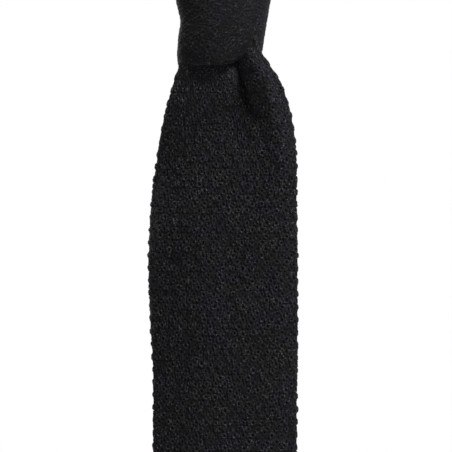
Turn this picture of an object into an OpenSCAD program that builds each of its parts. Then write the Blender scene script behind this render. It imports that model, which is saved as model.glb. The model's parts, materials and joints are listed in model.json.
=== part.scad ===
// Knitted wool necktie, tied in a four-in-hand and hanging as it is worn.
// +Z is up and the front of the tie faces -Y. The origin is the centre of the neck opening.
// The tie is one long flat knitted tube. Each pass of that tube through the knot, and each
// length of it between two bends, is a solid of its own.

/* [Cloth] */
// Thickness of the flattened double-layer tube of the blade
cloth_t = 3.6; // [3:0.1:3.8]
// Thickness of the narrower tube of the tail
tail_t = 3.4; // [2.8:0.1:3.6]
// Gap left between two lengths of cloth where the tie bends
bend_gap = 0.8; // [0.7:0.1:1.2]

/* [Neck loop] */
// Half of the width of the neck loop, side to side
loop_half_w = 60; // [54:1:70]
// Half of the depth of the neck loop, front to back
loop_half_d = 66; // [60:1:76]
// How much narrower the loop is in front than behind
loop_egg = 0.12; // [0:0.01:0.2]
// Height of the loop's middle above the origin
loop_mid_z = 8; // [0:1:16]
// How much higher the loop's back is than its middle
loop_rise = 22; // [10:1:30]
// Width of the band round the neck
band_w = 34; // [28:1:38]
// Lean of the band's upper edge towards the neck, in degrees
band_lean = 12; // [0:1:20]
// Angle from the front at which the band turns down towards the knot
leg_angle = 42; // [38:1:50]

/* [Knot] */
// Sideways place of the knot's middle
knot_x = -1; // [-2:0.5:1]
// Front-to-back place of the knot's middle
knot_y = -69; // [-76:1:-66]
// Height of the knot's top edge
knot_top = -27; // [-36:1:-25]
// Height of the knot
knot_h = 48; // [46:1:54]
// Width of the knot at its bottom edge
knot_w_low = 35; // [34:0.5:38]
// Width of the knot at its top edge
knot_w_top = 44; // [42:0.5:50]
// How much higher the knot's bottom edge is at its right end
knot_notch = 6; // [0:0.5:8]

/* [Blade] */
// Length of the blade below the knot
blade_len = 450; // [420:5:480]
// Half of the blade's full width
blade_half_w = 29.4; // [26:0.2:34]
// Height of the hem band at the blade's square end
hem_h = 9; // [6:0.5:12]

/* [Keeper loop] */
// Height of the keeper's place below the knot
keeper_drop = 205; // [180:5:215]
// Clear width of the keeper, for the tail to pass
keeper_w = 42; // [40:1:44]
// Clear depth of the keeper behind the blade
keeper_d = 5.2; // [5:0.1:5.4]
// Height of the keeper's tape
keeper_h = 12; // [10:1:16]
// Thickness of the keeper's tape
keeper_t = 0.9; // [0.6:0.1:1.1]

/* [Tail] */
// Length of the tail below the knot
tail_len = 330; // [310:5:350]
// Half of the tail's full width
tail_half_w = 19; // [17:0.5:20]
// Width of the bunched stretch of the tail that runs through the knot
shank_w = 10.5; // [10:0.1:10.6]
// Depth of that bunched stretch
shank_t = 4.4; // [4:0.1:4.4]

/* [Label] */
// Width of the blank care label
label_w = 24; // [20:1:30]
// Length of the blank care label
label_l = 30; // [24:1:36]

/* [Travel] */
// How far the knot can be drawn down to loosen the loop, and how far the tail then rises
knot_travel = 30; // [10:1:30]

/* [Hidden] */
$fn = 32;

knot_bottom = knot_top - knot_h;
wrap_t = 3.6;
touch = 0.1;             // space between layers of one body
free = 0.5;              // space between cloth that moves apart
corner_in = 3;           // radius of the wrap's inner corners
// Layers of the knot from front to back, as offsets from knot_y
wrap_front = -13;
throat_mid = wrap_front + wrap_t + touch + cloth_t / 2;
cross_front = throat_mid + cloth_t / 2 + touch;
cross_back = 0.3;
shank_mid = cross_back + free + shank_t / 2;
wrap_back_in = shank_mid + shank_t / 2 + 0.4;
wrap_back = wrap_back_in + wrap_t;
riser_mid = wrap_back + touch + cloth_t / 2;
wrap_seam_y = -2;

blade_y = knot_y + throat_mid;
tail_y = knot_y + shank_mid;
saddle_w = 9.5;
saddle_t = 5;
saddle_x = [-saddle_w, 0];
shank_x = saddle_x[1] + free + shank_w / 2;
shank_top = knot_top - 2;
// The bunched shank reaches this low, so that only it can rise past the saddle
shank_bottom = knot_top - saddle_t - 2 * knot_travel;

// Bends of the blade and of the tail, as heights
blade_root_z = knot_bottom - 1.5;
blade_bends = [knot_bottom - 112, knot_bottom - 225, knot_bottom - 338];
blade_tip = knot_bottom - blade_len;
tail_bends = [knot_bottom - 75, knot_bottom - 205];
tail_tip = knot_bottom - tail_len;

wool = [0.13, 0.13, 0.14];
lining = [0.10, 0.10, 0.11];
thread = [0.07, 0.07, 0.08];

// ---- the neck loop's centre line and its frame, at angle a from the front ----
function loop_point(a) = [
  loop_half_w * sin(a) * (1 - loop_egg * cos(a)),
  -loop_half_d * cos(a),
  loop_mid_z - loop_rise * cos(a)
];
function unit(v) = v / norm(v);
function loop_along(a) = unit(loop_point(a + 0.5) - loop_point(a - 0.5));
// The band's width direction: upright, square to its run, then leaned in
function loop_up(a) =
  let (t = loop_along(a), w = unit([0, 0, 1] - t[2] * t), n = cross(w, t))
  w * cos(band_lean) + n * sin(band_lean);

// ---- a flat strip through a list of rings [centre, along, across, width, thickness] ----
end_points = 5;
function flat_outline(w, t) = [
  for (side = [1, -1], k = [0 : end_points - 1])
    let (a = -90 + 180 * k / (end_points - 1))
    [side * ((w - t) / 2 + cos(a) * t / 2), side * sin(a) * t / 2]
];
function ring_points(r) =
  let (across = unit(r[2] - (r[2] * r[1]) * r[1]), out = cross(r[1], across))
  [for (p = flat_outline(r[3], r[4])) r[0] + p[0] * across + p[1] * out];

module strip(rings) {
  m = 2 * end_points;
  n = len(rings);
  points = [for (r = rings) each ring_points(r)];
  sides = [
    for (i = [0 : n - 2], j = [0 : m - 1])
      let (a = i * m + j, b = i * m + (j + 1) % m)
      each [[a, b + m, b], [a, a + m, b + m]]
  ];
  start = [for (j = [0 : m - 1]) j];
  finish = [for (j = [m - 1 : -1 : 0]) (n - 1) * m + j];
  polyhedron(points, concat(sides, [start, finish]), convexity = 8);
}

module loop_strip(from, to, w, t, steps) {
  strip([
    for (i = [0 : steps])
      let (a = from + (to - from) * i / steps)
      [loop_point(a), loop_along(a), loop_up(a), w, t]
  ]);
}

// ---- the neck loop ----
seam_half_angle = 0.5;
tape_angle = 60;
module tape_space(extra) {
  loop_strip(tape_angle - extra, 360 - tape_angle + extra, 24 + 2 * extra, 0.8 + 0.6 * extra, 80);
}

module band_half() {
  difference() {
    loop_strip(leg_angle, 180 - seam_half_angle, band_w, cloth_t, 46);
    tape_space(1);
  }
}

module neckband_right() {
  color(wool) band_half();
}

module neckband_left() {
  color(wool) mirror([1, 0, 0]) band_half();
}

module centre_back_seam() {
  color(thread)
    difference() {
      loop_strip(180 - seam_half_angle, 180 + seam_half_angle, band_w + 0.8, cloth_t + 0.8, 2);
      tape_space(1);
    }
}

module neck_stay_tape() {
  color(lining) tape_space(0);
}

// A leg turns from the band down to the knot's mouth. It is gathered as it goes.
function curve(p, u) =
  pow(1 - u, 3) * p[0] + 3 * pow(1 - u, 2) * u * p[1] + 3 * (1 - u) * u * u * p[2] + u * u * u * p[3];
function ease(u) = u * u * (3 - 2 * u);
leg_pull = 16;
module leg(end_x, end_w, end_t) {
  start = loop_point(leg_angle);
  end = [end_x, tail_y, knot_top + free];
  p = [
    start - touch * loop_along(leg_angle), start - leg_pull * loop_along(leg_angle),
    end + [0, 0, leg_pull], end
  ];
  start_out = cross(loop_up(leg_angle), loop_along(leg_angle));
  strip([
    for (i = [0 : 20])
      let (
        u = i / 20,
        e = 0.005,
        along = unit(curve(p, min(u + e, 1)) - curve(p, max(u - e, 0))),
        out = start_out * (1 - ease(u)) + [0, 1, 0] * ease(u),
        across = cross(along, out)
      )
      [
        curve(p, u), along, across,
        band_w + (end_w - band_w) * ease(u),
        cloth_t + (end_t - cloth_t) * ease(u)
      ]
  ]);
}

module neck_leg_right() {
  color(wool) leg(shank_x, shank_w, shank_t);
}

left_leg_x = 14.4;
left_leg_w = 9;
module neck_leg_left() {
  color(wool) mirror([1, 0, 0]) leg(left_leg_x, left_leg_w, shank_t);
}

// ---- the knot ----
// Width of the knot at a height
function knot_w(z) = knot_w_low + (knot_w_top - knot_w_low) * (z - knot_bottom) / knot_h;

// A slice of the knot's plan, inset from its outside
module knot_plan(z, inset, round) {
  w = knot_w(z) - 2 * inset;
  d = wrap_back - wrap_front - 2 * inset;
  translate([knot_x, knot_y + (wrap_back + wrap_front) / 2, z])
    linear_extrude(0.01)
      offset(round) square([w - 2 * round, d - 2 * round], center = true);
}

module knot_block(inset, round, extra) {
  hull() {
    knot_plan(knot_bottom - extra, inset, round);
    knot_plan(knot_top + extra, inset, round);
  }
}

// The wrap's lower edge is level at the left and lifts towards its right end
module knot_face() {
  low_l = knot_x - knot_w_top;
  rotate([90, 0, 0])
    linear_extrude(200, center = true)
      polygon([
        [low_l, knot_bottom], [knot_x + 6, knot_bottom + knot_notch / 5],
        [knot_x + knot_w_low / 2, knot_bottom + knot_notch],
        [knot_x + knot_w_top, knot_bottom + knot_notch],
        [knot_x + knot_w_top, knot_top + 1], [low_l, knot_top + 1]
      ]);
}

module wrap_ring() {
  intersection() {
    difference() {
      knot_block(0, corner_in + wrap_t, 0);
      knot_block(wrap_t, corner_in, 1);
    }
    knot_face();
  }
}

module half_space(y_from, y_to, z_to) {
  translate([-60, y_from, knot_bottom - 5]) cube([120, y_to - y_from, z_to - knot_bottom + 5]);
}

module knot_front_wrap() {
  color(wool)
    intersection() {
      wrap_ring();
      half_space(knot_y + wrap_front - 1, knot_y + wrap_seam_y, knot_top + 1);
    }
}

module knot_back_wrap() {
  color(wool)
    intersection() {
      wrap_ring();
      half_space(knot_y + wrap_seam_y, knot_y + wrap_back + 1, knot_top - saddle_t - touch);
    }
}

// A flat length of cloth: an outline in X and Z, with half-round ends at its top and bottom
module cloth(outline, z_top, z_bottom, y_mid, t) {
  intersection() {
    translate([0, y_mid + t, 0]) rotate([90, 0, 0]) linear_extrude(2 * t) polygon(outline);
    translate([-100, y_mid, 0])
      rotate([90, 0, 90])
        linear_extrude(200)
          union() {
            translate([-t / 2, z_bottom + t / 2]) square([t, z_top - z_bottom - t]);
            translate([0, z_bottom + t / 2]) circle(t / 2);
            translate([0, z_top - t / 2]) circle(t / 2);
          }
  }
}

// Outline of a pass that is gathered to the saddle's width at its top and fans out below
module gathered_pass(y_mid, z_low) {
  w_low = knot_w(z_low) / 2 - wrap_t - corner_in;
  z_up = knot_top - saddle_t;
  cloth(
    [
      [saddle_x[0], z_up], [saddle_x[1], z_up], [knot_x + w_low, knot_bottom + knot_h / 2],
      [knot_x + w_low, z_low], [knot_x - w_low, z_low], [knot_x - w_low, knot_bottom + knot_h / 2]
    ],
    z_up + cloth_t / 2, z_low, y_mid, cloth_t
  );
}

module blade_throat() {
  color(wool)
    intersection() {
      gathered_pass(blade_y, blade_root_z + bend_gap / 2);
      half_space(-200, 0, knot_top - saddle_t);
    }
}

module blade_riser() {
  color(wool)
    intersection() {
      gathered_pass(knot_y + riser_mid, knot_bottom + 3);
      half_space(-200, 0, knot_top - saddle_t);
    }
}

// The cloth goes over the knot's top from the riser behind to the throat in front
module blade_saddle() {
  front = throat_mid - cloth_t / 2;
  back = riser_mid + cloth_t / 2;
  r = saddle_t / 2;
  color(wool)
    translate([saddle_x[0], knot_y, knot_top - saddle_t])
      rotate([90, 0, 90])
        linear_extrude(saddle_w)
          union() {
            translate([front, 0]) square([back - front, saddle_t - r]);
            translate([front + r, 0]) square([back - front - 2 * r, saddle_t]);
            translate([front + r, saddle_t - r]) circle(r);
            translate([back - r, saddle_t - r]) circle(r);
          }
}

// The first crossing, in front of the tail's strip
module knot_cross_pass() {
  z_up = knot_top - saddle_t - touch;
  z_low = knot_bottom + knot_notch + 1;
  half_up = knot_w(z_up) / 2 - wrap_t - corner_in;
  half_low = knot_w(z_low) / 2 - wrap_t - corner_in;
  color(wool)
    translate([0, knot_y + cross_back, 0])
      rotate([90, 0, 0])
        linear_extrude(cross_back - cross_front)
          polygon([
            [knot_x - half_up, z_up], [knot_x + half_up, z_up],
            [knot_x + half_low, z_low], [knot_x - half_low, z_low]
          ]);
}

// ---- the blade ----
module blade_panel(z_top, z_bottom) {
  w = blade_half_w;
  cloth(
    [
      [-17, knot_bottom], [17, knot_bottom], [24.6, knot_bottom - 15], [w - 1, knot_bottom - 35],
      [w, blade_tip], [-w, blade_tip], [-w, knot_bottom - 75], [-26.8, knot_bottom - 37],
      [-22.6, knot_bottom - 15]
    ],
    z_top, z_bottom, blade_y, cloth_t
  );
}

module blade_upper() {
  color(wool) blade_panel(blade_root_z - bend_gap / 2, blade_bends[0] + bend_gap / 2);
}

module blade_middle() {
  color(wool) blade_panel(blade_bends[0] - bend_gap / 2, blade_bends[1] + bend_gap / 2);
}

module blade_lower() {
  color(wool) blade_panel(blade_bends[1] - bend_gap / 2, blade_bends[2] + bend_gap / 2);
}

// The last length ends square, where the hem band closes it
module square_end(z_hem) {
  intersection() {
    children();
    translate([-100, -200, z_hem]) cube([200, 400, 300]);
  }
}

module blade_end() {
  color(wool)
    square_end(blade_tip + hem_h)
      blade_panel(blade_bends[2] - bend_gap / 2, blade_tip);
}

module hem(half_w, z_tip, y_mid, t) {
  r = t / 2;
  translate([-half_w, y_mid, z_tip])
    rotate([90, 0, 90])
      linear_extrude(2 * half_w)
        union() {
          translate([-r, r]) square([t, hem_h - r]);
          translate([0, r]) circle(r);
        }
}

// Slanted stitches along the top of the hem band, on the inner face
module hem_stitches(half_w, z_hem, y_face) {
  pitch = 6;
  below = 1.8;
  count = floor(2 * (half_w - 4) / pitch);
  for (i = [0 : count])
    translate([(i - count / 2) * pitch, y_face + 0.25, z_hem - below])
      rotate([0, 35, 0]) cube([0.5, 0.5, 3], center = true);
}

module blade_hem() {
  color(wool) hem(blade_half_w, blade_tip, blade_y, cloth_t);
}

module blade_hem_stitches() {
  color(thread) hem_stitches(blade_half_w, blade_tip + hem_h, blade_y + cloth_t / 2);
}

// ---- the keeper loop on the blade's back ----
keeper_z = knot_bottom - keeper_drop;
keeper_foot = 4;
keeper_y = blade_y + cloth_t / 2;
module keeper_section(grow) {
  r = 2 + grow;
  w = keeper_w + 2 * grow;
  d = keeper_d + grow;
  union() {
    translate([-w / 2, 0]) square([w, d - r]);
    translate([-w / 2 + r, 0]) square([w - 2 * r, d]);
    for (side = [-1, 1]) translate([side * (w / 2 - r), d - r]) circle(r);
  }
}

module keeper_loop() {
  foot_w = keeper_w + 2 * keeper_t + 2 * keeper_foot;
  color(lining)
    translate([0, keeper_y, keeper_z - keeper_h / 2])
      linear_extrude(keeper_h)
        difference() {
          union() {
            keeper_section(keeper_t);
            translate([-foot_w / 2, 0]) square([foot_w, keeper_t]);
          }
          translate([0, -0.01]) keeper_section(0);
        }
}

module keeper_tack(side) {
  x = side * (keeper_w / 2 + keeper_t + keeper_foot / 2);
  color(thread)
    translate([x, keeper_y + keeper_t, keeper_z])
      for (i = [-2 : 2])
        translate([0, 0.2, i * 2]) cube([3, 0.4, 0.8], center = true);
}

module keeper_tack_left() {
  keeper_tack(-1);
}

module keeper_tack_right() {
  keeper_tack(1);
}

// ---- the tail ----
module tail_shank() {
  round = 2;
  color(wool)
    translate([shank_x, tail_y, shank_bottom])
      linear_extrude(shank_top - shank_bottom)
        offset(round) square([shank_w - 2 * round, shank_t - 2 * round], center = true);
}

module tail_panel(z_top, z_bottom) {
  w = tail_half_w;
  cloth(
    [
      [shank_x - shank_w / 2, shank_bottom], [shank_x + shank_w / 2, shank_bottom],
      [12, shank_bottom - 14], [12.5, knot_bottom - 2 * knot_travel - 1], [w, tail_bends[0] - 12],
      [w, tail_tip], [-w, tail_tip], [-w, tail_bends[0] - 12],
      [-12.5, knot_bottom - 2 * knot_travel - 1], [-12, shank_bottom - 14]
    ],
    z_top, z_bottom, tail_y, tail_t
  );
}

module tail_upper() {
  color(wool)
    intersection() {
      tail_panel(shank_bottom + tail_t, tail_bends[0] + bend_gap / 2);
      translate([-100, -200, tail_tip]) cube([200, 400, shank_bottom - tail_tip]);
    }
}

module tail_middle() {
  color(wool) tail_panel(tail_bends[0] - bend_gap / 2, tail_bends[1] + bend_gap / 2);
}

module tail_end() {
  color(wool)
    square_end(tail_tip + hem_h)
      tail_panel(tail_bends[1] - bend_gap / 2, tail_tip);
}

module tail_hem() {
  color(wool) hem(tail_half_w, tail_tip, tail_y, tail_t);
}

module tail_hem_stitches() {
  color(thread) hem_stitches(tail_half_w, tail_tip + hem_h, tail_y + tail_t / 2);
}

// ---- the blank care label on the tail's back, held along its top edge ----
label_z = tail_bends[1] - 45;
label_t = 0.5;
label_y = tail_y + tail_t / 2 + 0.4;
module care_label() {
  color("whitesmoke")
    translate([-label_w / 2, label_y, label_z - label_l - 0.5]) cube([label_w, label_t, label_l]);
}

module label_stitches() {
  color(thread)
    for (i = [-3 : 3])
      translate([i * 3.2, tail_y + tail_t / 2 + 0.25, label_z + 0.8])
        cube([2, 0.5, 0.5], center = true);
}

neckband_left();
neckband_right();
centre_back_seam();
neck_stay_tape();
neck_leg_left();
neck_leg_right();
knot_cross_pass();
knot_back_wrap();
knot_front_wrap();
blade_riser();
blade_saddle();
blade_throat();
blade_upper();
blade_middle();
blade_lower();
blade_end();
blade_hem();
blade_hem_stitches();
keeper_loop();
keeper_tack_left();
keeper_tack_right();
tail_shank();
tail_upper();
tail_middle();
tail_end();
tail_hem();
tail_hem_stitches();
care_label();
label_stitches();
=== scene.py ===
"""Looks of a knitted wool necktie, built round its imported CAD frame.

Shapes are worked out in millimetres in the frame's own axes (+Z up, front towards -Y) and turned
into metres when a mesh is made. Every length of knit is one flat tube: a mid-surface, a flat
double-layer outline round it, and the knit's own relief pushed out of it.
"""
import json
import math

import bpy
import numpy as np
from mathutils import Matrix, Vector


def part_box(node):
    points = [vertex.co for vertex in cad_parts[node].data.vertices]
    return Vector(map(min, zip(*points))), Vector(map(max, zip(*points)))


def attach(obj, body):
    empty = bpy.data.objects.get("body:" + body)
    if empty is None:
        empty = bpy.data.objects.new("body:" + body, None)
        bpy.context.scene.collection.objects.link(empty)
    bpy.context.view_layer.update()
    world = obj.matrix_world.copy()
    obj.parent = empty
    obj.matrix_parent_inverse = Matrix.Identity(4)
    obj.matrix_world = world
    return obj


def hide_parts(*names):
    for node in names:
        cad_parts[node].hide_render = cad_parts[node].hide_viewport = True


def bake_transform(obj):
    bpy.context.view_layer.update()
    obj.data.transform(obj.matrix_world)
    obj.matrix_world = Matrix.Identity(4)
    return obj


MM = 0.001
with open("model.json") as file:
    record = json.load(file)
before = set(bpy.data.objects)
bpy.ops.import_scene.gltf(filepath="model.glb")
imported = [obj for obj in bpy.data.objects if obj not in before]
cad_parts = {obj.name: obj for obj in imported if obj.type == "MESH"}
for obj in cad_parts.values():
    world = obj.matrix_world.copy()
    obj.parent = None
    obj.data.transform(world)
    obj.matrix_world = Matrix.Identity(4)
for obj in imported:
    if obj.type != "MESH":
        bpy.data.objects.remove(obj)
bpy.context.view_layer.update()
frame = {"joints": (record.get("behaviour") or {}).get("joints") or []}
JOINTS = {j["name"]: j for j in frame["joints"]}


# ---- places and sizes, from the frame ----
def box_mm(node):
    """A CAD node's lowest and highest corners, in millimetres."""
    low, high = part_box(node)
    return np.array(low) / MM, np.array(high) / MM


def joint_mm(joint):
    return np.array(JOINTS[joint]["pos_m"]) / MM


WRAP_LOW, WRAP_HIGH = box_mm("knot_front_wrap")
KNOT_LOW, KNOT_HIGH = WRAP_LOW[2], WRAP_HIGH[2]
KNOT_FRONT = WRAP_LOW[1]
KNOT_BACK = box_mm("knot_back_wrap")[1][1]
BLADE_Y = joint_mm("blade_swing")[1]
TAIL_Y = joint_mm("tail_bend_upper")[1]
BLADE_TIP, BLADE_HEM = box_mm("blade_hem")[0][2], box_mm("blade_hem")[1][2]
TAIL_TIP, TAIL_HEM = box_mm("tail_hem")[0][2], box_mm("tail_hem")[1][2]
BLADE_BENDS = [joint_mm("blade_bend_" + n)[2] for n in ("upper", "middle", "lower")]
TAIL_BENDS = [joint_mm("tail_bend_" + n)[2] for n in ("upper", "lower")]
SHANK_LOW, SHANK_HIGH = box_mm("tail_shank")
SADDLE_LOW, SADDLE_HIGH = box_mm("blade_saddle")
RISER_LOW, RISER_HIGH = box_mm("blade_riser")
CROSS_LOW, CROSS_HIGH = box_mm("knot_cross_pass")

# ---- the knit ----
COURSE = 2.56          # height of one course of rings
RING_PITCH = 3.76      # ring to ring along a course
AROUND_PER_RING = 12   # mesh steps to a ring, round the tube
STEPS_PER_COURSE = 8   # mesh steps to a course, along the tube
RELIEF = 0.64          # how far a ring stands out of the gaps
NOISE_ROWS = 64        # courses before the knit's unevenness repeats
BLOCK_FINE = 20        # points to a ring or a course in the knit's worked-out height
ODD_KINDS = 7          # random numbers drawn for each stitch
STRAY = 0.14           # how far a stitch is out of its place
LOOP_R = 0.8           # half of a loop's width
VEE_LOW, VEE_HIGH = -1.15, 0.95  # ends of a V stitch's legs, from the middle of its course
YARN_R = 0.34          # half of a V stitch's leg's width


def smooth(t):
    t = np.clip(t, 0, 1)
    return t * t * (3 - 2 * t)


def fade(x, at_zero, at_one):
    """0 at at_zero and beyond it, 1 at at_one and beyond it."""
    return smooth((x - at_zero) / (at_one - at_zero))


def bell(x, centre, width):
    return np.exp(-(((x - centre) / width) ** 2))


def through(points, x):
    """A smooth curve through a few points (x, y), flat beyond its ends."""
    px, py = np.array(points, float).T
    slope = np.gradient(py, px)
    x = np.clip(x, px[0], px[-1])
    i = np.clip(np.searchsorted(px, x) - 1, 0, len(px) - 2)
    h = px[i + 1] - px[i]
    t = (x - px[i]) / h
    return (
        (2 * t**3 - 3 * t**2 + 1) * py[i]
        + (t**3 - 2 * t**2 + t) * h * slope[i]
        + (-2 * t**3 + 3 * t**2) * py[i + 1]
        + (t**3 - t**2) * h * slope[i + 1]
    )


def unit(v):
    return v / np.maximum(np.linalg.norm(v, axis=-1, keepdims=True), 1e-9)


def places(x, y, z):
    """Points from three coordinates, each an array or one number."""
    return np.stack(np.broadcast_arrays(x, y, z), -1)


def summed(steps):
    """Lengths along a path from its steps, from 0 at its start."""
    return np.concatenate([[0], np.cumsum(steps)])


def length_along(points):
    return summed(np.linalg.norm(np.diff(points, axis=0), axis=1))


def gathers(v, count):
    """How deep count folds round a tube are, from 0 to 1, at share v of the way round."""
    return 0.5 - 0.5 * np.cos(2 * math.pi * count * v)


def size_at(size, run):
    """A size that is either one number or a function of the run."""
    return (size(run) if callable(size) else size) + 0 * run


def ripple(x, y, seed, length):
    """A gentle unevenness from -1 to 1, about length from crest to crest."""
    rng = np.random.RandomState(seed)
    total = 0
    for _ in range(6):
        turn, phase = rng.uniform(0, 2 * math.pi, 2)
        wave = 2 * math.pi / (length * rng.uniform(0.7, 1.6))
        total = total + np.sin(wave * (x * math.cos(turn) + y * math.sin(turn)) + phase)
    return total / 3.5


def stroke(dx, dy, x0, y0, x1, y1, half):
    """Height of a length of yarn of half-width half, laid from x0, y0 to x1, y1."""
    lx, ly = x1 - x0, y1 - y0
    t = np.clip(((dx - x0) * lx + (dy - y0) * ly) / (lx * lx + ly * ly), 0, 1)
    return np.exp(-((dx - x0 - t * lx) ** 2 + (dy - y0 - t * ly) ** 2) / half**2)


def knit_block(rings, seed, loops, vees):
    """Height of the cross-tuck knit over a block of rings by NOISE_ROWS courses, from about 0 in its
    gaps to 1 on its yarn. Round loops and narrow V stitches take turns along a course, and every
    other course is set over by half a ring. Each is a little out of place and out of round. loops
    and vees are how high the two stand."""
    rng = np.random.RandomState(seed)
    odd_loop = rng.normal(0, 1, (NOISE_ROWS, rings, ODD_KINDS))
    odd_vee = rng.normal(0, 1, (NOISE_ROWS, rings, ODD_KINDS))
    a = (np.arange(rings * BLOCK_FINE) / BLOCK_FINE)[None, :]
    b = (np.arange(NOISE_ROWS * BLOCK_FINE) / BLOCK_FINE)[:, None]
    height = np.zeros((b.size, a.size))
    nearest = np.round(b).astype(int)
    for row in (nearest - 1, nearest, nearest + 1):
        half = 0.5 * (row % 2)
        column = np.round(a - half).astype(int)
        odd = odd_loop[row % NOISE_ROWS, column % rings]
        dx = (a - half - column) * RING_PITCH + STRAY * odd[..., 0]
        dy = (b - row) * COURSE + STRAY * odd[..., 1]
        turn = 0.2 * odd[..., 2]
        dx, dy = dx + turn * dy, dy - turn * dx
        r = np.hypot(dx / (LOOP_R * (1 + 0.1 * odd[..., 3])), dy / (1 + 0.1 * odd[..., 4]))
        near = np.maximum(r, 0.2)
        lower = 0.62 + 0.38 * np.clip(np.maximum(np.abs(dx) / LOOP_R, dy) / near, 0, 1)
        ring = bell(r, 1, 0.42) * lower * loops
        height = np.maximum(height, ring * (1 + 0.2 * odd[..., 5]))
        column = np.floor(a - half).astype(int)
        odd = odd_vee[row % NOISE_ROWS, column % rings]
        dx = (a - half - column - 0.5) * RING_PITCH + STRAY * odd[..., 0]
        dy = (b - row) * COURSE + STRAY * odd[..., 1]
        spread = 0.58 * (1 + 0.15 * odd[..., 3])
        vee = np.maximum(
            stroke(dx, dy, -spread, VEE_LOW, -0.1, VEE_HIGH, YARN_R),
            stroke(dx, dy, spread, VEE_LOW, 0.1, VEE_HIGH, YARN_R),
        )
        height = np.maximum(height, vee * vees * (1 + 0.25 * odd[..., 5]))
    return height


KNIT_BLOCKS = {}


def knit_relief(a, b, rings, seed, loops=1.0, vees=0.85):
    """The knit's height at a rings round the tube and b courses along it."""
    kind = (rings, seed, loops, vees)
    if kind not in KNIT_BLOCKS:
        KNIT_BLOCKS[kind] = knit_block(*kind)
    block = KNIT_BLOCKS[kind]
    x, y = a * BLOCK_FINE, b * BLOCK_FINE
    i, j = np.floor(y).astype(int), np.floor(x).astype(int)
    u, t = y - i, x - j
    rows, columns = block.shape
    above, below = i % rows, (i + 1) % rows
    left, right = j % columns, (j + 1) % columns
    return (1 - u) * ((1 - t) * block[above, left] + t * block[above, right]) + u * (
        (1 - t) * block[below, left] + t * block[below, right]
    )


def drawn_relief(a, b, rings, seed):
    """The same knit drawn tight round the knot, where the loops lie as low as the V stitches."""
    return knit_relief(a, b, rings, seed, 0.8, 0.85)


def rib_relief(a, b, rings, seed):
    """Height of the plain rib of a hem: two ribs to a ring, and two courses to one of the rings."""
    rib = 0.5 + 0.5 * np.cos(4 * math.pi * a)
    loops = 0.5 + 0.5 * np.cos(4 * math.pi * (b + 0.12 * np.abs(np.sin(4 * math.pi * a))))
    return rib * (0.55 + 0.45 * loops)


# ---- meshes ----
def mesh_object(name, points, faces, material, uvs=None, values=None, sharp=None):
    """A mesh object from points in millimetres. faces and uvs are lists of arrays, a row to a face.
    values is a number for each point, kept as crest, from which the wool's material paints shade in the
    knit's gaps and highlights on its crests. Edges between sharp points are hard."""
    mesh = bpy.data.meshes.new(name)
    points = np.asarray(points, float).reshape(-1, 3) * MM
    loops = np.concatenate([f.reshape(-1) for f in faces])
    sizes = np.concatenate([np.full(len(f), f.shape[1]) for f in faces])
    mesh.vertices.add(len(points))
    mesh.vertices.foreach_set("co", points.reshape(-1))
    mesh.loops.add(len(loops))
    mesh.loops.foreach_set("vertex_index", loops.astype(np.int32))
    mesh.polygons.add(len(sizes))
    starts = np.concatenate([[0], np.cumsum(sizes)[:-1]])
    mesh.polygons.foreach_set("loop_start", starts.astype(np.int32))
    mesh.update(calc_edges=True)
    mesh.polygons.foreach_set("use_smooth", np.ones(len(sizes), bool))
    if values is not None:
        attribute = mesh.attributes.new("crest", "FLOAT", "POINT")
        attribute.data.foreach_set("value", np.asarray(values, np.float32).reshape(-1))
    if uvs is not None:
        layer = mesh.uv_layers.new(name="OFBake")
        flat = np.concatenate([u.reshape(-1, 2) for u in uvs])
        layer.data.foreach_set("uv", flat.astype(np.float32).reshape(-1))
    if sharp is not None:
        rim = np.zeros(len(points), bool)
        rim[sharp] = True
        ends = np.zeros(len(mesh.edges) * 2, np.int32)
        mesh.edges.foreach_get("vertices", ends)
        mesh.edges.foreach_set("use_edge_sharp", rim[ends.reshape(-1, 2)].all(1))
    mesh.validate()
    piece = bpy.data.objects.new(name, mesh)
    bpy.context.scene.collection.objects.link(piece)
    mesh.materials.append(material)
    return piece


def outline(v, width, thick):
    """Place across and place out of a flat tube's outline, at share v of the way round it from its
    left edge, front side first."""
    flat, quarter = width - thick, math.pi * thick / 4
    run = v * (2 * flat + 4 * quarter)
    r = thick / 2
    ends = [quarter, quarter + flat, 3 * quarter + flat, 3 * quarter + 2 * flat]
    turns = [run / r, (run - ends[1]) / r, (run - ends[3]) / r]
    where = [run < ends[0], run < ends[1], run < ends[2], run < ends[3]]
    across = np.select(
        where,
        [
            -flat / 2 - r * np.cos(turns[0]),
            run - ends[0] - flat / 2,
            flat / 2 + r * np.sin(turns[1]),
            flat / 2 - (run - ends[2]),
        ],
        -flat / 2 - r * np.sin(turns[2]),
    )
    out = np.select(
        where,
        [r * np.sin(turns[0]), r + 0 * run, r * np.cos(turns[1]), -r + 0 * run],
        -r * np.cos(turns[2]),
    )
    return across, out


def tube_faces(rows, around):
    """Faces and bake coordinates of a tube of rows rings of points, closed at both ends."""
    i, j = np.meshgrid(np.arange(rows - 1), np.arange(around), indexing="ij")
    k = (j + 1) % around
    corners = [(i, j, j), (i + 1, j, j), (i + 1, k, j + 1), (i, k, j + 1)]
    quads = np.stack([row * around + column for row, column, _ in corners], -1).reshape(-1, 4)
    uv = np.stack([np.stack([side / around, row / (rows - 1)], -1) for row, _, side in corners], 2)
    low = np.arange(1, around // 2 - 1)
    ladder = np.stack([low, low + 1, around - low - 1, around - low], -1)
    tips = np.array([[0, 1, around - 1], [around // 2 - 1, around // 2, around // 2 + 1]])
    last = (rows - 1) * around
    faces = [quads, ladder, tips, last + ladder[:, ::-1], last + tips[:, ::-1]]
    uvs = [0.004 + 0.992 * uv.reshape(-1, 4, 2)] + [np.zeros((len(f), f.shape[1], 2)) for f in faces[1:]]
    return faces, uvs


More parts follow.
